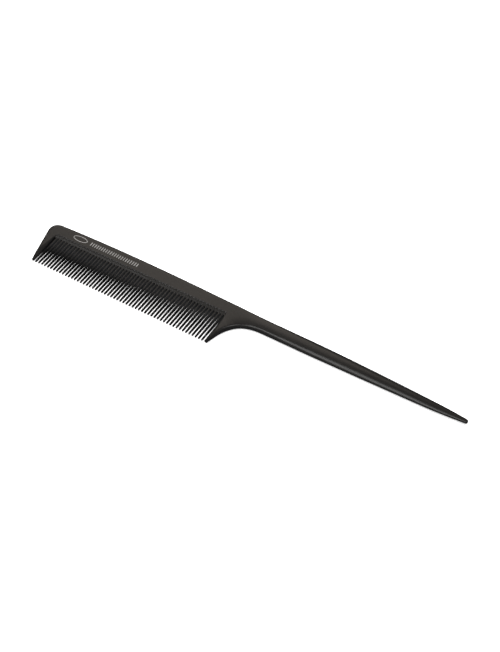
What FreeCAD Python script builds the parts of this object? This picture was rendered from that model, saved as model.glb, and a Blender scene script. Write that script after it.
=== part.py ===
"""Rat tail comb: a flat moulded comb head with one row of fine teeth, a solid back and a long tapering tail.

Drawing datum, in millimetres: x = 0 on the centre line of the front guard tooth, y = 0 on the line of the
tooth tips, z = 0 on the middle plane of the moulding. x runs towards the tail and y towards the back of the
comb. The finished part is moved so that its origin is the bottom centre of its bounding box.
"""
import FreeCAD, Part
import os

# Row of teeth
PITCH = 1.70
FINE_TEETH = 55
TOOTH_LENGTH = 16.4
TOOTH_WIDTH_ROOT = 1.00
TOOTH_WIDTH_TIP = 0.82
TOOTH_DRAFT = 0.17            # how much each side of a tooth leans in, per mm from the middle plane
TOOTH_THICK_ROOT = 2.60
TOOTH_THICK_TIP = 0.78
TIP_ROUNDING = 0.40           # length of the tooth that is rounded off at the tip
TIP_SHRINK = 0.45             # size of the tooth's end, as a share of its size before the rounding

# Head plate
PLATE_THICK = 3.20
EDGE_RADIUS = 1.10
CORNER_RADIUS = 4.4
CREASE_Y = 18.5               # line where the flat faces give way to the bevel above the slots
FRONT_TIP_REACH = 0.67        # outer corner of the front guard tooth's tip, from the tooth's centre
REAR_TIP_REACH = 0.85
GUARD_TIP_SAG = 0.30          # how far the rounded end of a guard tooth bulges
GUARD_RIB_SLOPE = 0.50        # rise of a guard tooth's bevel towards its outer edge, per mm

# Outline, as (x, y)
NECK_X = 114.0
FRONT_CORNER = (-6.7, 24.4)
BACK_EDGE = [FRONT_CORNER, (12.0, 25.17), (37.0, 25.64), (72.0, 25.40), (100.0, 24.75), (NECK_X, 24.58)]
NECK_EDGE = [(NECK_X, 17.12), (108.6, 16.62), (103.45, 14.55), (99.55, 10.5)]

# Tail, as (x, lower edge y, upper edge y, thickness, corner radius)
TAIL_SECTIONS = [
    (NECK_X, 17.12, 24.58, PLATE_THICK, EDGE_RADIUS),
    (125.0, 16.99, 24.67, 3.15, 1.30),
    (136.0, 16.94, 24.65, 3.12, 1.45),
    (150.0, 17.10, 24.44, 3.08, 1.46),
    (165.0, 17.30, 23.98, 2.98, 1.42),
    (180.0, 17.59, 23.43, 2.72, 1.30),
    (195.0, 17.90, 22.75, 2.36, 1.12),
    (207.0, 18.58, 21.97, 1.84, 0.87),
    (213.55, 19.17, 21.26, 1.50, 0.70),
]
TAIL_END_RADIUS = 0.55

# Printed mark on the upper face, an oval ring and a row of short bars
MARK_OVAL_CENTRE = (11.9, 21.35)
MARK_OVAL_HALF = (3.9, 1.6)
MARK_LINE = 0.35
MARK_BARS = 22
MARK_FIRST_BAR_X = 17.9
MARK_BAR_STEP = 1.24
MARK_BAR_WIDTH = 0.42
MARK_BAR_HEIGHT = 2.1
MARK_THICK = 0.04

TOOTH_RISE = (TOOTH_THICK_ROOT - TOOTH_THICK_TIP) / 2 / TOOTH_LENGTH
FIRST_SLOT_X = TOOTH_WIDTH_ROOT / 2
LAST_SLOT_X = (FINE_TEETH + 1) * PITCH - FIRST_SLOT_X
BIG = 400.0


def vec(x, y, z=0.0):
    return FreeCAD.Vector(x, y, z)


def spline(points):
    curve = Part.BSplineCurve()
    curve.interpolate([vec(x, y) for x, y in points])
    return curve.toShape()


def line(a, b):
    return Part.LineSegment(vec(*a), vec(*b)).toShape()


def arc(a, b, c):
    return Part.Arc(vec(*a), vec(*b), vec(*c)).toShape()


def half_thickness(y):
    """Half the thickness of a fine tooth at height y, measured from the tips."""
    return TOOTH_THICK_TIP / 2 + TOOTH_RISE * y


def plate():
    """Back, guard teeth and neck as one flat blank with its long outer edges rounded."""
    rear_x = (FINE_TEETH + 1) * PITCH
    tip_y = GUARD_TIP_SAG
    front_out = (-FRONT_TIP_REACH, tip_y)
    front_in = (FIRST_SLOT_X, tip_y)
    rear_in = (LAST_SLOT_X, tip_y)
    rear_out = (rear_x + REAR_TIP_REACH, tip_y)
    edges = [
        arc(front_in, ((front_in[0] + front_out[0]) / 2, 0.0), front_out),
        line(front_out, FRONT_CORNER),
        spline(BACK_EDGE),
        line(BACK_EDGE[-1], NECK_EDGE[0]),
        spline(NECK_EDGE + [rear_out]),
        arc(rear_out, ((rear_out[0] + rear_in[0]) / 2, 0.0), rear_in),
        line(rear_in, (LAST_SLOT_X, TOOTH_LENGTH)),
        line((LAST_SLOT_X, TOOTH_LENGTH), (FIRST_SLOT_X, TOOTH_LENGTH)),
        line((FIRST_SLOT_X, TOOTH_LENGTH), front_in),
    ]
    face = Part.Face(Part.Wire(edges))
    blank = face.extrude(vec(0, 0, PLATE_THICK))
    blank.translate(vec(0, 0, -PLATE_THICK / 2))
    corner = [e for e in blank.Edges if is_upright_at(e, FRONT_CORNER)]
    blank = blank.makeFillet(CORNER_RADIUS, corner)
    return blank.makeFillet(EDGE_RADIUS, [e for e in blank.Edges if is_outer_rim(e)])


def is_upright_at(edge, point):
    ends = [v.Point for v in edge.Vertexes]
    return all(abs(p.x - point[0]) < 1e-6 and abs(p.y - point[1]) < 1e-6 for p in ends)


def is_outer_rim(edge):
    """True for the long outer edges of the two faces, apart from the teeth side and the neck's cut end."""
    box = edge.BoundBox
    on_face = box.ZLength < 1e-6
    long_enough = edge.Length > 4.0
    cut_end = box.XLength < 1e-6
    root_line = box.YLength < 1e-6
    return on_face and long_enough and not cut_end and not root_line


def above_plane(point, normal):
    """A large block whose lower face passes through the point, square to the normal."""
    block = Part.makeBox(BIG, BIG, BIG, vec(-BIG / 2, -BIG / 2, 0))
    turn = FreeCAD.Rotation(vec(0, 0, 1), normal)
    block.Placement = FreeCAD.Placement(point, turn)
    return block


def both_faces(cutter):
    return [cutter, cutter.mirror(vec(0, 0, 0), vec(0, 0, 1))]


def guard_bevel(slot_x, outward, side):
    """Bevel of a guard tooth: thin at the tip and beside the slot, thick along the outer edge."""
    normal = vec(-GUARD_RIB_SLOPE * outward, -TOOTH_RISE, 1)
    return both_faces(above_plane(vec(slot_x, 0, TOOTH_THICK_TIP / 2), normal).common(side))


def back_bevel():
    """Bevel between the flat faces and the ends of the slots, with a hip over each guard tooth."""
    low = half_thickness(TOOTH_LENGTH)
    rise = (PLATE_THICK / 2 - low) / (CREASE_Y - TOOTH_LENGTH)
    start = vec(FIRST_SLOT_X, TOOTH_LENGTH, low)
    end = vec(LAST_SLOT_X, TOOTH_LENGTH, low)
    planes = [
        (start, vec(0, -rise, 1), FIRST_SLOT_X, LAST_SLOT_X),
        (start, vec(GUARD_RIB_SLOPE, -rise, 1), -BIG, FIRST_SLOT_X),
        (end, vec(-GUARD_RIB_SLOPE, -rise, 1), LAST_SLOT_X, BIG),
    ]
    cutters = []
    for point, normal, x_low, x_high in planes:
        side = region(x_low, x_high, TOOTH_LENGTH, BIG)
        cutters += both_faces(above_plane(point, normal).common(side))
    return cutters


def region(x_low, x_high, y_low, y_high):
    return Part.makeBox(x_high - x_low, y_high - y_low, BIG, vec(x_low, y_low, -BIG / 2))


def bevelled(blank):
    """The plate thinned towards the teeth on both faces."""
    front_side = region(-BIG, FIRST_SLOT_X, -BIG, TOOTH_LENGTH)
    rear_side = region(LAST_SLOT_X, BIG, -BIG, TOOTH_LENGTH)
    guards = guard_bevel(FIRST_SLOT_X, -1, front_side) + guard_bevel(LAST_SLOT_X, 1, rear_side)
    return blank.cut(guards + back_bevel())


def front_guard_region():
    return region(-BIG, FIRST_SLOT_X, -BIG, TOOTH_LENGTH)


def rear_guard_region():
    """Below a slanting line from the end of the last slot to the concave neck edge."""
    beyond = above_plane(vec(LAST_SLOT_X, TOOTH_LENGTH), vec(1, 1, 0))
    return region(LAST_SLOT_X, BIG, -BIG, TOOTH_LENGTH).cut(beyond)


def tooth_section(x, y, width, thick):
    """Six-sided section of a fine tooth, widest at the middle plane."""
    half = width / 2
    face = thick / 2
    top = half - TOOTH_DRAFT * face
    corners = [(half, 0), (top, face), (-top, face), (-half, 0), (-top, -face), (top, -face)]
    points = [vec(x + dx, y, dz) for dx, dz in corners]
    return Part.makePolygon(points + [points[0]])


def fine_tooth(number):
    x = number * PITCH
    tip_thick = half_thickness(TIP_ROUNDING) * 2
    sections = [
        tooth_section(x, TOOTH_LENGTH, TOOTH_WIDTH_ROOT, TOOTH_THICK_ROOT),
        tooth_section(x, TIP_ROUNDING, TOOTH_WIDTH_TIP, tip_thick),
        tooth_section(x, 0.0, TOOTH_WIDTH_TIP * TIP_SHRINK, tip_thick * TIP_SHRINK),
    ]
    return Part.makeLoft(sections, True, True)


def tail_section(x, y_low, y_high, thick, radius):
    """Rectangle with rounded corners, square to the tail's length."""
    half = thick / 2
    diagonal = radius * (1 - 0.5 ** 0.5)
    corners = [(y_high, half, 1, 1), (y_low, half, -1, 1), (y_low, -half, -1, -1), (y_high, -half, 1, -1)]
    starts, edges = [], []
    for y, z, side, face in corners:
        beside = vec(x, y, z - face * radius)
        middle = vec(x, y - side * diagonal, z - face * diagonal)
        along = vec(x, y - side * radius, z)
        order = [beside, middle, along] if side * face > 0 else [along, middle, beside]
        starts.append(order)
    for index, order in enumerate(starts):
        following = starts[(index + 1) % 4]
        edges.append(Part.Arc(*order).toShape())
        edges.append(Part.LineSegment(order[2], following[0]).toShape())
    return Part.Wire(edges)


def tail():
    """Tail from the neck to its blunt end, as a smooth loft with the end's edges rounded."""
    body = Part.makeLoft([tail_section(*row) for row in TAIL_SECTIONS], True, False)
    end_x = TAIL_SECTIONS[-1][0]
    end_edges = [e for e in body.Edges if e.BoundBox.XMin > end_x - 0.01]
    return body.makeFillet(TAIL_END_RADIUS, end_edges)


def oval(centre, half_length, half_height):
    ellipse = Part.Ellipse(centre, half_length, half_height)
    return Part.Face(Part.Wire([ellipse.toShape()])).extrude(vec(0, 0, MARK_THICK))


def printed_mark():
    """Oval ring and bars of ink on the upper face, raised by the thickness of the ink."""
    face_z = PLATE_THICK / 2
    centre = vec(*MARK_OVAL_CENTRE, face_z)
    half_length, half_height = MARK_OVAL_HALF
    hole = oval(centre, half_length - MARK_LINE, half_height - MARK_LINE)
    ring = oval(centre, half_length, half_height).cut(hole)
    low_y = MARK_OVAL_CENTRE[1] - MARK_BAR_HEIGHT / 2
    bars = []
    for index in range(MARK_BARS):
        corner = vec(MARK_FIRST_BAR_X + index * MARK_BAR_STEP, low_y, face_z)
        bars.append(Part.makeBox(MARK_BAR_WIDTH, MARK_BAR_HEIGHT, MARK_THICK, corner))
    return Part.makeCompound(ring.Solids + bars)


def build():
    moulding = bevelled(plate())
    nodes = {
        "spine": moulding.cut([front_guard_region(), rear_guard_region()]),
        "front_guard_tooth": moulding.common(front_guard_region()),
    }
    for number in range(1, FINE_TEETH + 1):
        nodes[f"tooth_{number:02d}"] = fine_tooth(number)
    nodes["rear_guard_tooth"] = moulding.common(rear_guard_region())
    nodes["tail_handle"] = tail()
    nodes["printed_mark"] = printed_mark()
    return nodes


def bottom_centre(shapes):
    """Bottom centre of the bounding box, measured on a fine mesh of the shapes."""
    points = Part.makeCompound(shapes).tessellate(0.01)[0]
    middle_x = (min(p.x for p in points) + max(p.x for p in points)) / 2
    middle_y = (min(p.y for p in points) + max(p.y for p in points)) / 2
    return vec(middle_x, middle_y, -PLATE_THICK / 2)


def export(nodes):
    shift = bottom_centre(list(nodes.values())).negative()
    os.makedirs("parts", exist_ok=True)
    for name, shape in nodes.items():
        shape.translate(shift)
        shape.exportStep(f"parts/{name}.step")
    print("moved by", shift)


export(build())
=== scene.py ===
"""Looks of the rat tail comb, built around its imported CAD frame.

Shapes are written in millimetres on the comb's own datum: x = 0 on the centre line of the front guard tooth,
y = 0 on the line of the tooth tips, z = 0 on the middle plane of the moulding. in_frame() moves them to the
frame, in metres, by way of the boxes of the CAD nodes.
"""

import math

import bpy
import numpy as np
from mathutils import Matrix, Vector, geometry


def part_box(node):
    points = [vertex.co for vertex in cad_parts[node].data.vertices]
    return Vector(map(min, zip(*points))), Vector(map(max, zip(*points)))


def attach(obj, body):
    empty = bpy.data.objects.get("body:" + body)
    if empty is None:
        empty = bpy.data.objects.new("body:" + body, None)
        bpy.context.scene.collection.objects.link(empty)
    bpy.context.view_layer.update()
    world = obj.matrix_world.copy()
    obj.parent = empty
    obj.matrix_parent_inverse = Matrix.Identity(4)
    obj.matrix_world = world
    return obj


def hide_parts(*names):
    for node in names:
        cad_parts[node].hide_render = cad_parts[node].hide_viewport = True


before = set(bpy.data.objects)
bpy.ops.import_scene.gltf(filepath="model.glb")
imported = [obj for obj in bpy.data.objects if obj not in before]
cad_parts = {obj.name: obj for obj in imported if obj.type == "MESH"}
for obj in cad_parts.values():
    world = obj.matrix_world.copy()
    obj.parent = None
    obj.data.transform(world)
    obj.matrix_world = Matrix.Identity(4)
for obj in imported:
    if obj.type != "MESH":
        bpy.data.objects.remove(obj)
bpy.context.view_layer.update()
MM = 0.001

# The row of teeth, read from the frame
FINE_TEETH = sum(1 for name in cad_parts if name.startswith("tooth_"))
FIRST_LOW, FIRST_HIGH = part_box("tooth_01")
LAST_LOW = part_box(f"tooth_{FINE_TEETH:02d}")[0]
PITCH = (LAST_LOW[0] - FIRST_LOW[0]) / (FINE_TEETH - 1) / MM
FIRST_CENTRE = (Vector(FIRST_LOW) + Vector(FIRST_HIGH)) / 2
DATUM = Vector((FIRST_CENTRE.x - PITCH * MM, FIRST_LOW[1], FIRST_CENTRE.z))
ROOT_Y = (FIRST_HIGH[1] - FIRST_LOW[1]) / MM
ROOT_HALF_WIDTH = (FIRST_HIGH[0] - FIRST_LOW[0]) / MM / 2
ROOT_HALF_THICK = (FIRST_HIGH[2] - FIRST_LOW[2]) / MM / 2
FIRST_SLOT_X = ROOT_HALF_WIDTH
LAST_SLOT_X = (FINE_TEETH + 1) * PITCH - ROOT_HALF_WIDTH
NECK_X = (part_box("tail_handle")[0][0] - DATUM.x) / MM
PLATE_HALF = (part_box("spine")[1][2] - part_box("spine")[0][2]) / MM / 2

# Fine teeth
TIP_HALF_WIDTH = 0.41
TIP_HALF_THICK = 0.39
TOOTH_DRAFT = 0.17
TIP_ROUNDING = 0.40
ROOT_FLARE = 0.16
ROOT_FLARE_LENGTH = 0.5
ROOT_HOLD = 0.1
TOOTH_STATIONS = (13.0, 10.0, 7.0, 4.5, 2.5, 1.2)
SIDE_ROUNDING = 0.10
SECTION_CORNER = ((0.0, 0.0), (0.45, 0.0), (0.80, 0.0), (0.93, 0.35), (1.0, 1.0))

# Head: bevel above the slots, guard teeth and rounded edges
CREASE_Y = 18.5
GUARD_RIB_SLOPE = 0.50
FRONT_TIP_REACH = 0.67
REAR_TIP_REACH = 0.85
GUARD_TIP_Y = 0.5
GUARD_TIP_RISE = 0.48
EDGE_RADIUS = 1.10
GUARD_TIP_RADIUS = 0.28
SLOT_EDGE_RADIUS = 0.16
EDGE_FADE = 7.0
CORNER_RADIUS = 4.4
FRONT_CORNER = (-6.7, 24.4)
BACK_EDGE = [FRONT_CORNER, (12.0, 25.17), (37.0, 25.64), (72.0, 25.40), (100.0, 24.75), (NECK_X, 24.58)]
NECK_EDGE = [(NECK_X, 17.12), (108.6, 16.62), (103.45, 14.55), (99.55, 10.5)]

# Small dimple on the bevel above each slot
DIMPLE_DEPTH = 0.30
DIMPLE_HALF = 0.50
DIMPLE_TOP = 18.60
DIMPLE_STEEP = 0.55
DIMPLE_BOTTOM = 17.40
DIMPLE_GENTLE = 0.65

# Tail, as (x, lower edge y, upper edge y, half thickness, edge radius in plan)
TAIL_LAW = [
    (NECK_X, 17.12, 24.58, PLATE_HALF, EDGE_RADIUS),
    (125.0, 16.99, 24.67, 1.575, 1.73),
    (136.0, 16.94, 24.65, 1.56, 2.20),
    (150.0, 17.10, 24.44, 1.54, 2.43),
    (165.0, 17.30, 23.98, 1.49, 2.45),
    (180.0, 17.59, 23.43, 1.36, 2.28),
    (195.0, 17.90, 22.75, 1.18, 1.90),
    (207.0, 18.58, 21.97, 0.92, 1.28),
    (212.4, 19.06, 21.38, 0.76, 0.55),
]
TAIL_END_X = 213.5
TAIL_END_SQUARENESS = 0.8
CROWN_START_X = 97.0
CROWN_SHARE = 0.50
CROWN_RATIO = 0.22
CROWN_REACH = 1.6

# Section of a moulded edge, from the middle plane to the face
PARTING_HEIGHT = 0.06
PARTING_DEPTH = 0.03
WALL_DRAFT = 0.05
EDGE_STEPS = 8
TAIL_EXTRA_DEPTH = 0.4
EDGE_SHARE = 0.95

# Spacing of the outlines' points, and of the inner points that carry each change of slope on a face
SIDE_STEP = 0.7
ROOT_LINE_STEP = PITCH / 10
CORNER_GAP = 0.5
RIB_STEP = 0.8
RIB_GAP = 0.1
FINE_COLUMN_STEP = PITCH / 12
FINE_ROW_STEP = 0.1
FINE_BELOW_CREASE = 1.2
FINE_ABOVE_CREASE = 0.35
FINE_BEYOND_SLOTS = 1.0
OPEN_START_X = -3.0
OPEN_STEP = 2.5
OPEN_ROWS = (19.4, 21.2, 22.8)
CROWN_FIRST_COLUMN = 0.5
CROWN_COLUMN_STEP = 1.0
CROWN_ROWS = np.arange(8.0, 24.0, 0.5)
TAIL_COLUMN_STEP = 1.5
TAIL_CLEAR_END = 2.0
TAIL_ROWS = 14
SEAM_STEP = 0.5
SEAM_CLEAR_LOW = 1.45
SEAM_CLEAR_HIGH = 1.3
INNER_MARGIN = 0.12
SPINE_MARGIN = 0.06

# Meshes: sharpest turn that is shaded smooth, and the least sine of a turn treated as a corner
SMOOTH_ANGLE = math.radians(40.0)
CORNER_TURN = 0.3

# Plastic: pairs of linear colours, their tones on (faces, steep sides), noise scales per metre, and gloss.
# The steep sides take a darker pair of colours as painted shade.
# The fine teeth take higher tones as painted light, and are painted nearly black below one height as shade,
# fading up to those lighter tones above another.
BASE_COLOURS = ((0.0076, 0.0072, 0.0070), (0.0098, 0.0090, 0.0083))
FLECK_COLOURS = ((0.0045, 0.0045, 0.0045), (0.0190, 0.0170, 0.0150))
PAINTED_SHADE_SIDE_COLOURS = ((0.0028, 0.0028, 0.0030), (0.0042, 0.0041, 0.0041))
PAINTED_SHADE_TIP_COLOURS = ((0.0012, 0.0012, 0.0012), (0.0016, 0.0015, 0.0015))
PLASTIC_TONES = (1.3, 2.0)
# The fine teeth's higher tones are painted light
TOOTH_PAINTED_LIGHT_TONES = (2.0, 11.0)
PAINTED_SHADE_BELOW_Y = 8.0
PAINTED_LIGHT_ABOVE_Y = 13.0
SLOW_SCALE = 70.0
FLOW_SCALE = 420.0
FLECK_SHARE = (0.15, 0.45)
GRAIN_SCALE = 5200.0
FACE_ROUGHNESS = (0.20, 0.27)
SIDE_ROUGHNESS = 0.75
PLASTIC_SPECULAR = 0.15

# Printed mark
INK_COLOURS = ((0.12, 0.115, 0.11), (0.32, 0.31, 0.30))
INK_GRAIN_SCALE = 3800.0
INK_ROUGHNESS = (0.55, 0.75)

# Floor: its height and half its width in metres of the frame, and its look
FLOOR_Z = -0.0001
FLOOR_HALF = 2.5
FLOOR_COLOURS = ((0.80, 0.80, 0.80), (0.82, 0.82, 0.82))
FLOOR_ROUGHNESS = (0.8, 0.9)
FLOOR_GLOW = 0.6

# Camera, in millimetres from the datum
CAMERA_AT = (358.4, -355.5, 508.6)
CAMERA_TARGET = (107.2, 18.1, 0.0)
CAMERA_ROLL = math.radians(-1.9)
LENS = 85.0


# ---------------------------------------------------------------- shapes in plan

def in_frame(points):
    """Points in millimetres on the datum, as an array of points of the frame in metres."""
    return np.asarray(points, float) * MM + np.array(DATUM)


def spline_through(points, samples):
    """Smooth curve through the points: a natural cubic spline over the length of its chords."""
    points = np.array(points, float)
    gaps = np.linalg.norm(np.diff(points, axis=0), axis=1)
    knots = np.concatenate([[0.0], np.cumsum(gaps)])
    count = len(points)
    system = np.eye(count)
    known = np.zeros_like(points)
    for i in range(1, count - 1):
        system[i, i - 1:i + 2] = gaps[i - 1], 2 * (gaps[i - 1] + gaps[i]), gaps[i]
        known[i] = 6 * ((points[i + 1] - points[i]) / gaps[i] - (points[i] - points[i - 1]) / gaps[i - 1])
    bend = np.linalg.solve(system, known)
    t = np.linspace(0.0, knots[-1], samples)
    i = np.clip(np.searchsorted(knots, t, side="right") - 1, 0, count - 2)
    gap = gaps[i][:, None]
    a = (knots[i + 1] - t)[:, None] / gap
    b = 1 - a
    curve = a * points[i] + b * points[i + 1]
    return curve + ((a ** 3 - a) * bend[i] + (b ** 3 - b) * bend[i + 1]) * gap ** 2 / 6


def straight(start, end, step):
    """Points from start to end, both included, about step apart."""
    start = np.array(start, float)
    end = np.array(end, float)
    count = max(2, int(round(np.linalg.norm(end - start) / step)) + 1)
    return start + (end - start) * np.linspace(0, 1, count)[:, None]


def round_corner(before, corner, after, radius, steps=14):
    """Arc that rounds the corner between the lines from before to corner and from corner to after."""
    corner = np.array(corner, float)
    back = np.array(before, float) - corner
    ahead = np.array(after, float) - corner
    back /= np.linalg.norm(back)
    ahead /= np.linalg.norm(ahead)
    half = math.acos(float(np.clip(back @ ahead, -1, 1))) / 2
    middle = (back + ahead) / np.linalg.norm(back + ahead)
    centre = corner + middle * radius / math.sin(half)
    reach = radius / math.tan(half)
    first = corner + back * reach - centre
    last = corner + ahead * reach - centre
    turn = math.atan2(first[0] * last[1] - first[1] * last[0], first @ last)
    angles = np.linspace(0, turn, steps)
    cos, sin = np.cos(angles), np.sin(angles)
    return centre + np.stack([cos * first[0] - sin * first[1], sin * first[0] + cos * first[1]], axis=1)


def cut_curve(points, side):
    """Splits a curve in two where the value of side, one number for each point, changes sign."""
    index = int(np.argmax(side * side[0] < 0))
    share = side[index - 1] / (side[index - 1] - side[index])
    crossing = points[index - 1] + (points[index] - points[index - 1]) * share
    return np.vstack([points[:index], crossing]), np.vstack([crossing, points[index:]])


def guard_tip(outer, inner):
    """Rounded end of a guard tooth, from its outer side round to its inner side, ends included."""
    outer = np.array(outer, float)
    inner = np.array(inner, float)
    middle = (outer + inner) / 2
    angles = np.linspace(0, math.pi, 13)[:, None]
    return middle + (outer - middle) * np.cos(angles) + np.array([0.0, -GUARD_TIP_RISE]) * np.sin(angles)


TAIL = spline_through(TAIL_LAW, samples=90)


def tail_value(x, column):
    """Value of one column of the tail's law at x."""
    return np.interp(x, TAIL[:, 0], TAIL[:, column])


# ---------------------------------------------------------------- thickness

def dimple_depth(x, y):
    """Depth of the dimples: steep towards the back edge and gentle towards the teeth."""
    slot = np.round(x / PITCH - 0.5) + 0.5
    across = np.clip(1 - ((x - slot * PITCH) / DIMPLE_HALF) ** 2, 0, 1)
    along = np.minimum((DIMPLE_TOP - y) / DIMPLE_STEEP, (y - DIMPLE_BOTTOM) / DIMPLE_GENTLE)
    in_row = (x > 0) & (x < (FINE_TEETH + 1) * PITCH)
    return np.where(in_row, DIMPLE_DEPTH * across * np.clip(along, 0, 1), 0.0)


def crown_depth(x, y):
    """How far the faces of the neck and the tail fall away towards their edges."""
    low = np.where(x < NECK_X, tail_value(NECK_X, 1), tail_value(x, 1))
    high = np.where(x < NECK_X, tail_value(NECK_X, 2), tail_value(x, 2))
    away = np.abs(y - low - CROWN_SHARE * (high - low)) / (CROWN_SHARE * (high - low))
    onset = np.clip((x - CROWN_START_X) / (NECK_X - CROWN_START_X), 0, 1)
    onset = onset * onset * (3 - 2 * onset)
    return CROWN_RATIO * tail_value(np.maximum(x, NECK_X), 3) * np.minimum(away, CROWN_REACH) ** 2 * onset


def half_thickness(x, y):
    """Half the thickness of the moulding at each point in plan."""
    tooth_rise = (ROOT_HALF_THICK - TIP_HALF_THICK) / ROOT_Y
    bevel_rise = (PLATE_HALF - ROOT_HALF_THICK) / (CREASE_Y - ROOT_Y)
    base = np.where(y < ROOT_Y, TIP_HALF_THICK + tooth_rise * y, ROOT_HALF_THICK + bevel_rise * (y - ROOT_Y))
    beside = np.maximum(0, np.maximum(FIRST_SLOT_X - x, x - LAST_SLOT_X))
    head = np.minimum(PLATE_HALF, base + GUARD_RIB_SLOPE * beside) - dimple_depth(x, y)
    tail = np.minimum(PLATE_HALF, tail_value(x, 3))
    return np.where(x < NECK_X, head, tail) - crown_depth(x, y)


def edge_depth(x, half):
    """How far down from the face an edge is rounded: nearly to the middle on thin parts and on the tail."""
    fullness = np.clip((x - NECK_X) / (TAIL_END_X - NECK_X) * 2, 0, 1)
    return np.minimum(EDGE_RADIUS + TAIL_EXTRA_DEPTH * fullness, EDGE_SHARE * half)


# ---------------------------------------------------------------- meshes

def new_piece(name, vertices, faces):
    """A closed mesh piece, with smooth shading apart from its sharp edges."""
    mesh = bpy.data.meshes.new(name)
    mesh.from_pydata([tuple(v) for v in in_frame(vertices)], [], faces)
    mesh.validate()
    mesh.shade_smooth()
    mesh.set_sharp_from_angle(angle=SMOOTH_ANGLE)
    piece = bpy.data.objects.new(name, mesh)
    bpy.context.scene.collection.objects.link(piece)
    weighting = piece.modifiers.new("even_shading", "WEIGHTED_NORMAL")
    weighting.keep_sharp = True
    return piece


def offset_outline(points, shifts):
    """Moves each side of an anticlockwise outline inwards by its own shift; corners stay where sides meet."""
    sides = np.roll(points, -1, axis=0) - points
    sides /= np.linalg.norm(sides, axis=1)[:, None]
    inward = np.stack([-sides[:, 1], sides[:, 0]], axis=1)
    before = np.roll(inward, 1, axis=0)
    shift_before = np.roll(shifts, 1)
    turn = before[:, 0] * inward[:, 1] - before[:, 1] * inward[:, 0]
    mean = before + inward
    mean /= np.maximum(np.sum(mean * inward, axis=1), 0.5)[:, None]
    gentle = mean * ((shift_before + shifts) / 2)[:, None]
    gently = np.abs(turn) < CORNER_TURN
    safe = np.where(gently, 1.0, turn)
    sharp_x = (shift_before * inward[:, 1] - shifts * before[:, 1]) / safe
    sharp_y = (shifts * before[:, 0] - shift_before * inward[:, 0]) / safe
    sharp = np.stack([sharp_x, sharp_y], axis=1)
    return points + np.where(gently[:, None], gentle, sharp)


def edge_rows(outline, radii):
    """Rings of a moulded edge from the middle plane up to the face, as arrays of x, y, z.

    On a very thin part the rings still climb a little from one to the next.
    """
    outer = (radii > 0).astype(float)
    rings = []
    for depth, height in ((0.0, 0.0), (PARTING_DEPTH, PARTING_HEIGHT)):
        plan = offset_outline(outline, outer * depth)
        rings.append(np.column_stack([plan, np.full(len(plan), height)]))
    for step in range(EDGE_STEPS + 1):
        angle = math.pi / 2 * step / EDGE_STEPS
        plan = offset_outline(outline, outer * WALL_DRAFT + radii * (1 - math.cos(angle)))
        half = half_thickness(plan[:, 0], plan[:, 1])
        height = half - edge_depth(plan[:, 0], half) * (1 - math.sin(angle))
        lowest = PARTING_HEIGHT * (1.2 + 0.1 * (step + 2))
        rings.append(np.column_stack([plan, np.maximum(height, lowest)]))
    return rings


def inside(points, ring, margin):
    """True for the points that lie within the ring, at least margin from it."""
    side = np.roll(ring, -1, axis=0) - ring
    length = np.maximum(np.sum(side ** 2, axis=1), 1e-12)
    keep = []
    for point in points:
        gap = point - ring
        share = np.clip(np.sum(gap * side, axis=1) / length, 0, 1)
        near = np.min(np.linalg.norm(gap - side * share[:, None], axis=1))
        below = ring[:, 1] <= point[1]
        crosses = below != np.roll(below, -1)
        with np.errstate(divide="ignore", invalid="ignore"):
            at = ring[:, 0] + side[:, 0] * (point[1] - ring[:, 1]) / side[:, 1]
        within = np.count_nonzero(crosses & (at > point[0])) % 2 == 1
        keep.append(within and near > margin)
    return np.array(keep, bool)


def face_fill(ring, extra, margin):
    """The extra points that lie well within a ring in plan, and the triangles that fill it through them."""
    extra = np.array(extra, float)
    extra = extra[inside(extra, ring, margin)]
    count = len(ring)
    points = [Vector(p) for p in np.vstack([ring, extra])]
    loop = [(i, (i + 1) % count) for i in range(count)]
    result = geometry.delaunay_2d_cdt(points, loop, [], 1, 1e-5)
    sources = result[3]
    triangles = [[sources[v][0] for v in face] for face in result[2]]
    return extra, triangles


def moulding(name, outline, radii, extra, margin=INNER_MARGIN):
    """Closed plate with the given outline, edge radii and inner points, alike on both faces."""
    outline = np.array(outline, float)
    radii = np.array(radii, float)
    upper = edge_rows(outline, radii)
    lower = [ring * (1, 1, -1) for ring in reversed(upper[1:])]
    rings = lower + upper
    count = len(outline)
    inner, triangles = face_fill(upper[-1][:, :2], extra, margin)
    inner_z = half_thickness(inner[:, 0], inner[:, 1])
    vertices = np.vstack(rings + [np.column_stack([inner, inner_z]), np.column_stack([inner, -inner_z])])
    faces = []
    for row in range(len(rings) - 1):
        for i in range(count):
            j = (i + 1) % count
            base = row * count
            faces.append((base + i, base + j, base + count + j, base + count + i))
    top_start = (len(rings) - 1) * count
    top_inner = len(rings) * count
    bottom_inner = top_inner + len(inner)
    for triangle in triangles:
        faces.append([top_start + v if v < count else top_inner + v - count for v in triangle])
        faces.append([v if v < count else bottom_inner + v - count for v in reversed(triangle)])
    return new_piece(name, vertices, faces)


def seam(start, end):
    """Cut across the moulding from a slot to its outer side, with one point where the guard's bevel ends."""
    start = np.array(start, float)
    end = np.array(end, float)
    length = np.linalg.norm(end - start)
    along = (end - start) / length
    crease = (PLATE_HALF - ROOT_HALF_THICK) / GUARD_RIB_SLOPE / abs((end - start)[0]) * length
    return np.array([start, start + along * crease, end])


def neck_seam(low, high):
    """Cut across the neck, with inner points clear of the rounded edges."""
    between = np.arange(low[1] + SEAM_CLEAR_LOW, high[1] - SEAM_CLEAR_HIGH, SEAM_STEP)
    return np.array([low, *((NECK_X, y) for y in between), high])


def joined(*stretches):
    """One closed outline from (points, radius of their edges), each stretch starting where the last ended."""
    points, radii = [], []
    for stretch, radius in stretches:
        stretch = np.array(stretch, float)
        radius = np.broadcast_to(radius, len(stretch))
        points.append(stretch[:-1])
        radii.append(radius[:-1])
    return np.vstack(points), np.concatenate(radii)


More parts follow.
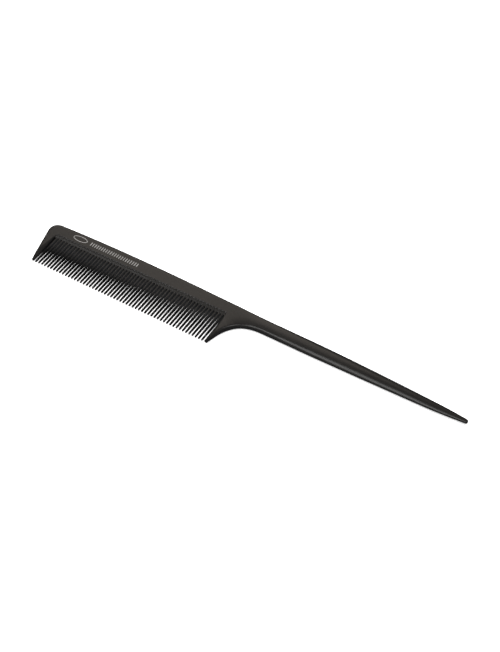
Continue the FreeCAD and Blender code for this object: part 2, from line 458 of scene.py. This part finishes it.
def guard_radius(points):
    """Edge radius along the outer side of a guard tooth, which grows from its tip."""
    share = np.clip(np.array(points)[:, 1] / EDGE_FADE, 0, 1)
    return GUARD_TIP_RADIUS + (EDGE_RADIUS - GUARD_TIP_RADIUS) * share * share * (3 - 2 * share)


# ---------------------------------------------------------------- outlines

REAR_OUT = ((FINE_TEETH + 1) * PITCH + REAR_TIP_REACH, GUARD_TIP_Y)
NECK_CURVE = spline_through(NECK_EDGE + [REAR_OUT], samples=60)
NECK_UPPER, NECK_LOWER = cut_curve(NECK_CURVE, NECK_CURVE[:, 0] + NECK_CURVE[:, 1] - LAST_SLOT_X - ROOT_Y)
FRONT_OUT = (-FRONT_TIP_REACH, GUARD_TIP_Y)
FRONT_SHARE = (ROOT_Y - FRONT_OUT[1]) / (FRONT_CORNER[1] - FRONT_OUT[1])
FRONT_AT_ROOT = (FRONT_OUT[0] + (FRONT_CORNER[0] - FRONT_OUT[0]) * FRONT_SHARE, ROOT_Y)


def front_guard_tooth():
    """The wide tooth at the front end of the row, up to the line of the tooth roots."""
    inner = (FIRST_SLOT_X, ROOT_Y)
    inner_tip = (FIRST_SLOT_X, FRONT_OUT[1])
    outer_side = straight(FRONT_AT_ROOT, FRONT_OUT, SIDE_STEP)
    outline, radii = joined(
        (outer_side, guard_radius(outer_side)),
        (guard_tip(FRONT_OUT, inner_tip), GUARD_TIP_RADIUS),
        (straight(inner_tip, inner, SIDE_STEP), SLOT_EDGE_RADIUS),
        (seam(inner, FRONT_AT_ROOT), 0.0),
    )
    return moulding("front_guard", outline, radii, guard_creases(FIRST_SLOT_X, -1))


def rear_guard_tooth():
    """The wide tooth beside the neck, whose outer side is the lower part of the neck's curve."""
    inner = (LAST_SLOT_X, ROOT_Y)
    inner_tip = (LAST_SLOT_X, REAR_OUT[1])
    tip = guard_tip(REAR_OUT, inner_tip)[::-1]
    outer_side = NECK_LOWER[::-1]
    outline, radii = joined(
        (straight(inner, inner_tip, SIDE_STEP), SLOT_EDGE_RADIUS),
        (tip, GUARD_TIP_RADIUS),
        (outer_side, guard_radius(outer_side)),
        (seam(inner, outer_side[-1])[::-1], 0.0),
    )
    return moulding("rear_guard", outline, radii, guard_creases(LAST_SLOT_X, 1) + crown_points())


def guard_creases(slot_x, outward):
    """Points each side of the line where a guard tooth's bevel meets its flat rib."""
    points = []
    for y in np.arange(RIB_STEP, ROOT_Y, RIB_STEP):
        base = TIP_HALF_THICK + (ROOT_HALF_THICK - TIP_HALF_THICK) * y / ROOT_Y
        crease = (PLATE_HALF - base) / GUARD_RIB_SLOPE
        for away in (crease / 2, crease - RIB_GAP, crease + RIB_GAP):
            points.append((slot_x + outward * away, y))
    return points


def spine():
    """The back of the comb, from the front corner to the neck and down to the line of the tooth roots."""
    corner = round_corner(FRONT_OUT, FRONT_CORNER, BACK_EDGE[1], CORNER_RADIUS)
    back = spline_through(BACK_EDGE, samples=160)
    back = back[back[:, 0] > corner[-1][0] + CORNER_GAP]
    root_line = straight((LAST_SLOT_X, ROOT_Y), (FIRST_SLOT_X, ROOT_Y), ROOT_LINE_STEP)
    outline, radii = joined(
        (straight(corner[0], FRONT_AT_ROOT, SIDE_STEP), EDGE_RADIUS),
        (seam((FIRST_SLOT_X, ROOT_Y), FRONT_AT_ROOT)[::-1], 0.0),
        (root_line[::-1], SLOT_EDGE_RADIUS / 2),
        (seam((LAST_SLOT_X, ROOT_Y), NECK_UPPER[-1]), 0.0),
        (NECK_UPPER[::-1], EDGE_RADIUS),
        (neck_seam(NECK_UPPER[0], back[-1]), 0.0),
        (np.vstack([back[::-1], corner[-1]]), EDGE_RADIUS),
        (corner[::-1], EDGE_RADIUS),
    )
    return moulding("comb_back", outline, radii, spine_points(), SPINE_MARGIN)


def grid(columns, rows):
    """Points where the columns cross the rows."""
    return [(x, y) for x in columns for y in rows]


def spine_points():
    """Inner points of the spine's face: a fine grid over the crease and dimples, an open one elsewhere."""
    start_x = FIRST_SLOT_X - FINE_BEYOND_SLOTS
    end_x = LAST_SLOT_X + FINE_BEYOND_SLOTS
    fine_columns = np.arange(start_x, end_x, FINE_COLUMN_STEP)
    fine_rows = np.arange(CREASE_Y - FINE_BELOW_CREASE, CREASE_Y + FINE_ABOVE_CREASE, FINE_ROW_STEP)
    points = grid(fine_columns, fine_rows)
    points += grid(np.arange(OPEN_START_X, NECK_X, OPEN_STEP), OPEN_ROWS)
    return points + crown_points()


def crown_points():
    """Grid over the neck, where the faces begin to fall away towards their edges."""
    return grid(np.arange(CROWN_START_X + CROWN_FIRST_COLUMN, NECK_X, CROWN_COLUMN_STEP), CROWN_ROWS)


def tail_handle():
    """The tail, from the neck to its blunt rounded end."""
    upper = TAIL[:, [0, 2]]
    lower = TAIL[:, [0, 1]]
    end_low, end_high = lower[-1], upper[-1]
    middle = (end_low + end_high) / 2
    reach = TAIL_END_X - middle[0]
    angles = np.linspace(-math.pi / 2, math.pi / 2, 15)[:, None]
    bulge = np.cos(angles) ** TAIL_END_SQUARENESS
    end = middle + np.array([reach, 0.0]) * bulge + (end_high - middle) * np.sin(angles)
    outline, radii = joined(
        (lower, TAIL[:, 4]),
        (end, TAIL[-1, 4]),
        (upper[::-1], TAIL[::-1, 4]),
        (neck_seam(lower[0], upper[0])[::-1], 0.0),
    )
    inner = []
    for x in np.arange(NECK_X + TAIL_COLUMN_STEP, TAIL_END_X - TAIL_CLEAR_END, TAIL_COLUMN_STEP):
        rows = np.linspace(tail_value(x, 1), tail_value(x, 2), TAIL_ROWS + 2)[1:-1]
        inner += grid([x], rows)
    return moulding("comb_tail", outline, radii, inner)


# ---------------------------------------------------------------- fine teeth

def tooth_ring(x, y, half_width, half_thick, size=1.0):
    """One section of a tooth, widest at the middle plane and softened where its sides meet its faces."""
    rounding = SIDE_ROUNDING * size
    quarter = []
    for share, trim in SECTION_CORNER:
        reach = half_width - TOOTH_DRAFT * half_thick * share - rounding * trim
        quarter.append((reach, half_thick * share))
    upper_left = [(-a, b) for a, b in reversed(quarter)]
    lower_left = [(-a, -b) for a, b in quarter[1:]]
    lower_right = [(a, -b) for a, b in reversed(quarter[1:])]
    return [(x + a, y, b) for a, b in quarter + upper_left + lower_left + lower_right]


def fine_tooth(number):
    """One tooth as a loft from inside the spine down to its rounded tip."""
    x = number * PITCH
    stations = []
    for share in np.linspace(0, 1, 5):
        y = ROOT_Y + ROOT_HOLD - (ROOT_HOLD + ROOT_FLARE_LENGTH) * share
        flare = ROOT_FLARE * (1 - math.sin(share * math.pi / 2))
        stations.append((y, flare, 1.0))
    for y in TOOTH_STATIONS:
        stations.append((y, 0.0, 1.0))
    for angle in np.linspace(0, 80, 6):
        turn = math.radians(angle)
        stations.append((TIP_ROUNDING * (1 - math.sin(turn)), 0.0, math.cos(turn)))
    rings = []
    for y, flare, size in stations:
        along = min(y, ROOT_Y) / ROOT_Y
        half_width = TIP_HALF_WIDTH + (ROOT_HALF_WIDTH - TIP_HALF_WIDTH) * along + flare
        half_thick = TIP_HALF_THICK + (ROOT_HALF_THICK - TIP_HALF_THICK) * along
        rings.append(tooth_ring(x, y, half_width * size, half_thick * size, size))
    return loft(f"fine_tooth_{number:02d}", rings)


def loft(name, rings):
    """Closed skin over rings of equal length, which run towards -Y."""
    count = len(rings[0])
    vertices = [point for ring in rings for point in ring]
    faces = []
    for row in range(len(rings) - 1):
        for i in range(count):
            j = (i + 1) % count
            base = row * count
            faces.append((base + i, base + j, base + count + j, base + count + i))
    faces.append(tuple(reversed(range(count))))
    faces.append(tuple(range(len(vertices) - count, len(vertices))))
    return new_piece(name, vertices, faces)


# ---------------------------------------------------------------- materials

def new_material(name):
    """A material with its nodes, its links and its main shader."""
    material = bpy.data.materials.new(name)
    material.use_nodes = True
    nodes = material.node_tree.nodes
    return material, nodes, material.node_tree.links, nodes["Principled BSDF"]


def noise(nodes, links, coordinates, scale, detail=3.0, roughness=0.5):
    """Smooth noise between 0 and 1, with its scale per metre."""
    node = nodes.new("ShaderNodeTexNoise")
    node.inputs["Scale"].default_value = scale
    node.inputs["Detail"].default_value = detail
    node.inputs["Roughness"].default_value = roughness
    links.new(coordinates, node.inputs["Vector"])
    return node.outputs["Fac"]


def ramp(nodes, links, value, low, high, start=0.0, end=1.0):
    """Colour that goes from low to high as the value goes from start to end."""
    node = nodes.new("ShaderNodeValToRGB")
    node.color_ramp.elements[0].position = start
    node.color_ramp.elements[1].position = end
    node.color_ramp.elements[0].color = (*low, 1)
    node.color_ramp.elements[1].color = (*high, 1)
    links.new(value, node.inputs["Fac"])
    return node.outputs["Color"]


def spread(nodes, links, value, low, high):
    """Number between low and high, as the value goes from 0 to 1."""
    node = nodes.new("ShaderNodeMapRange")
    node.inputs["To Min"].default_value = low
    node.inputs["To Max"].default_value = high
    links.new(value, node.inputs["Value"])
    return node.outputs["Result"]


def bump(nodes, links, height, strength, distance, under=None):
    """Normal of a surface raised by the height, in metres at full strength, on the normal under it."""
    node = nodes.new("ShaderNodeBump")
    node.inputs["Strength"].default_value = strength
    node.inputs["Distance"].default_value = distance
    links.new(height, node.inputs["Height"])
    if under is not None:
        links.new(under, node.inputs["Normal"])
    return node.outputs["Normal"]


def mixed(nodes, links, first, second, factor):
    """Colour that goes from first to second as the factor goes from 0 to 1."""
    node = nodes.new("ShaderNodeMix")
    node.data_type = "RGBA"
    links.new(factor, node.inputs["Factor"])
    links.new(first, node.inputs["A"])
    links.new(second, node.inputs["B"])
    return node.outputs["Result"]


def rougher(nodes, links, polish_and_painted_side_shade, gloss, matt):
    """Roughness that goes from matt on the sides to gloss on the faces."""
    node = nodes.new("ShaderNodeMix")
    node.inputs["A"].default_value = matt
    links.new(polish_and_painted_side_shade, node.inputs["Factor"])
    links.new(gloss, node.inputs["B"])
    return node.outputs["Result"]


def upright(nodes, links, low, high):
    """0 on the sides of the moulding and 1 on its faces, by how far the surface leans."""
    normal = nodes.new("ShaderNodeNewGeometry").outputs["True Normal"]
    parts = nodes.new("ShaderNodeSeparateXYZ")
    links.new(normal, parts.inputs["Vector"])
    size = nodes.new("ShaderNodeMath")
    size.operation = "ABSOLUTE"
    links.new(parts.outputs["Z"], size.inputs[0])
    node = nodes.new("ShaderNodeMapRange")
    node.inputs["From Min"].default_value = low
    node.inputs["From Max"].default_value = high
    links.new(size.outputs["Value"], node.inputs["Value"])
    return node.outputs["Result"]


def toned_ramp(nodes, links, value, colours, tone, start, end):
    """Colour that goes from the first to the second of two colours, both multiplied by the tone."""
    low, high = (tuple(part * tone for part in colour) for colour in colours)
    return ramp(nodes, links, value, low, high, start, end)


def plastic_parts(name, face_tone, painted_side_shade_tone):
    """Satin black plastic filled with carbon: fine grain, faint flecks, slow colour and gloss changes, and
    steep sides painted darker as shade.
    """
    material, nodes, links, shader = new_material(name)
    place = nodes.new("ShaderNodeTexCoord").outputs["Object"]
    slow = noise(nodes, links, place, SLOW_SCALE, detail=2.0)
    grain = noise(nodes, links, place, GRAIN_SCALE, detail=4.0, roughness=0.6)
    flow = noise(nodes, links, place, FLOW_SCALE)
    base = toned_ramp(nodes, links, slow, BASE_COLOURS, face_tone, 0.3, 0.7)
    fleck = toned_ramp(nodes, links, grain, FLECK_COLOURS, face_tone, 0.35, 0.75)
    face = mixed(nodes, links, base, fleck, spread(nodes, links, flow, *FLECK_SHARE))
    # Painted shade: the steep sides take darker colours than the faces
    side = toned_ramp(nodes, links, flow, PAINTED_SHADE_SIDE_COLOURS, painted_side_shade_tone, 0.3, 0.7)
    # By how far the surface leans, this mask sets the gloss and also mixes in the painted side shade
    polish_and_painted_side_shade = upright(nodes, links, low=0.45, high=0.80)
    colour = mixed(nodes, links, side, face, polish_and_painted_side_shade)
    links.new(colour, shader.inputs["Base Color"])
    gloss = spread(nodes, links, flow, *FACE_ROUGHNESS)
    links.new(rougher(nodes, links, polish_and_painted_side_shade, gloss, SIDE_ROUGHNESS), shader.inputs["Roughness"])
    shader.inputs["Specular IOR Level"].default_value = PLASTIC_SPECULAR
    skin = bump(nodes, links, grain, strength=0.25, distance=0.00002)
    skin = bump(nodes, links, flow, strength=0.15, distance=0.00006, under=skin)
    links.new(skin, shader.inputs["Normal"])
    return material, nodes, links, shader, colour


def carbon_plastic():
    """The plastic of the back, the guard teeth and the tail."""
    return plastic_parts("carbon_plastic", *PLASTIC_TONES)[0]


def tooth_plastic_painted_light_and_shade():
    """The same plastic on the fine teeth in higher tones as painted light, paler near the roots and painted
    nearly black towards the tips as shade.
    """
    material, nodes, links, shader, colour = plastic_parts("tooth_plastic_painted_light_and_shade", *TOOTH_PAINTED_LIGHT_TONES)
    place = nodes.new("ShaderNodeTexCoord").outputs["Object"]
    parts = nodes.new("ShaderNodeSeparateXYZ")
    links.new(place, parts.inputs["Vector"])
    along = nodes.new("ShaderNodeMapRange")
    along.inputs["From Min"].default_value = DATUM.y + PAINTED_SHADE_BELOW_Y * MM
    along.inputs["From Max"].default_value = DATUM.y + PAINTED_LIGHT_ABOVE_Y * MM
    links.new(parts.outputs["Y"], along.inputs["Value"])
    share = along.outputs["Result"]
    # Painted shade: the teeth fade to nearly black towards their tips
    painted_tip_shade = ramp(nodes, links, share, *PAINTED_SHADE_TIP_COLOURS)
    links.new(mixed(nodes, links, painted_tip_shade, colour, share), shader.inputs["Base Color"])
    return material


def mark_ink():
    """Matt grey ink, patchy as if a little of the black showed through."""
    material, nodes, links, shader = new_material("mark_ink")
    place = nodes.new("ShaderNodeTexCoord").outputs["Object"]
    grain = noise(nodes, links, place, INK_GRAIN_SCALE, roughness=0.6)
    ink = ramp(nodes, links, grain, *INK_COLOURS, start=0.30, end=0.62)
    links.new(ink, shader.inputs["Base Color"])
    links.new(spread(nodes, links, grain, *INK_ROUGHNESS), shader.inputs["Roughness"])
    links.new(bump(nodes, links, grain, strength=0.2, distance=0.00001), shader.inputs["Normal"])
    return material


def pale_floor():
    """White sheet, faintly lit from below as on a light table."""
    material, nodes, links, shader = new_material("pale_floor")
    place = nodes.new("ShaderNodeTexCoord").outputs["Object"]
    patches = noise(nodes, links, place, 6.0, detail=2.0)
    white = ramp(nodes, links, patches, *FLOOR_COLOURS)
    links.new(white, shader.inputs["Base Color"])
    links.new(spread(nodes, links, patches, *FLOOR_ROUGHNESS), shader.inputs["Roughness"])
    shader.inputs["Specular IOR Level"].default_value = 0.1
    shader.inputs["Emission Color"].default_value = (1, 1, 1, 1)
    shader.inputs["Emission Strength"].default_value = FLOOR_GLOW
    return material


# ---------------------------------------------------------------- stage

def floor():
    """Wide level sheet just under the comb, hidden from glossy rays so that no glare lies on the black."""
    corners = [(FLOOR_HALF * a, FLOOR_HALF * b, FLOOR_Z) for a, b in ((-1, -1), (1, -1), (1, 1), (-1, 1))]
    mesh = bpy.data.meshes.new("floor")
    mesh.from_pydata(corners, [], [(0, 1, 2, 3)])
    mesh.materials.append(pale_floor())
    plane = bpy.data.objects.new("floor", mesh)
    plane.visible_glossy = False
    bpy.context.scene.collection.objects.link(plane)


def softbox(name, at, size, power, colour=(1.0, 1.0, 1.0)):
    """Rectangular light aimed at the comb: its place in millimetres from the datum, its size in metres."""
    light = bpy.data.lights.new(name, "AREA")
    light.color = colour
    light.shape = "RECTANGLE"
    light.size, light.size_y = size
    light.energy = power
    lamp = bpy.data.objects.new(name, light)
    place = Vector(in_frame(at))
    direction = Vector(in_frame(CAMERA_TARGET)) - place
    lamp.matrix_world = Matrix.Translation(place) @ direction.to_track_quat("-Z", "Y").to_matrix().to_4x4()
    bpy.context.scene.collection.objects.link(lamp)


def lights():
    """An even surround and three softboxes: overhead, for the curve of the neck, and a warm one behind."""
    world = bpy.data.worlds.new("studio")
    world.use_nodes = True
    background = world.node_tree.nodes["Background"]
    background.inputs["Color"].default_value = (1, 1, 1, 1)
    background.inputs["Strength"].default_value = 0.2
    bpy.context.scene.world = world
    softbox("top_box", at=(-250, -240, 1000), size=(1.30, 0.36), power=13.0)
    softbox("neck_box", at=(430, -90, 1000), size=(0.42, 0.34), power=4.8)
    softbox("back_box", at=(-500, 930, 920), size=(0.60, 0.55), power=2.9, colour=(1.0, 0.90, 0.80))


def camera():
    """Long lens from the front and above, turned a little about its own axis."""
    lens = bpy.data.cameras.new("camera")
    lens.lens = LENS
    lens.sensor_width = 36.0
    lens.clip_start = 0.01
    view = bpy.data.objects.new("camera", lens)
    place = Vector(in_frame(CAMERA_AT))
    direction = Vector(in_frame(CAMERA_TARGET)) - place
    turn = direction.to_track_quat("-Z", "Y").to_matrix() @ Matrix.Rotation(CAMERA_ROLL, 3, "Z")
    view.matrix_world = Matrix.Translation(place) @ turn.to_4x4()
    bpy.context.scene.collection.objects.link(view)
    bpy.context.scene.camera = view


# ---------------------------------------------------------------- the comb

def dress(piece, node, material):
    """Puts a piece in a CAD node's place, on the comb's one body."""
    piece.data.materials.append(material)
    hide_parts(node)
    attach(piece, "root")


def comb():
    """Every piece of the comb in its material; the printed mark stays the CAD's own mesh."""
    plastic = carbon_plastic()
    # The fine teeth's plastic carries painted light near the roots and painted shade towards the tips
    tooth_painted_light_and_shade = tooth_plastic_painted_light_and_shade()
    dress(spine(), "spine", plastic)
    dress(front_guard_tooth(), "front_guard_tooth", plastic)
    dress(rear_guard_tooth(), "rear_guard_tooth", plastic)
    dress(tail_handle(), "tail_handle", plastic)
    for number in range(1, FINE_TEETH + 1):
        dress(fine_tooth(number), f"tooth_{number:02d}", tooth_painted_light_and_shade)
    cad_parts["printed_mark"].material_slots[0].material = mark_ink()


comb()
floor()
lights()
camera()
bpy.context.scene.view_settings.view_transform = "Standard"
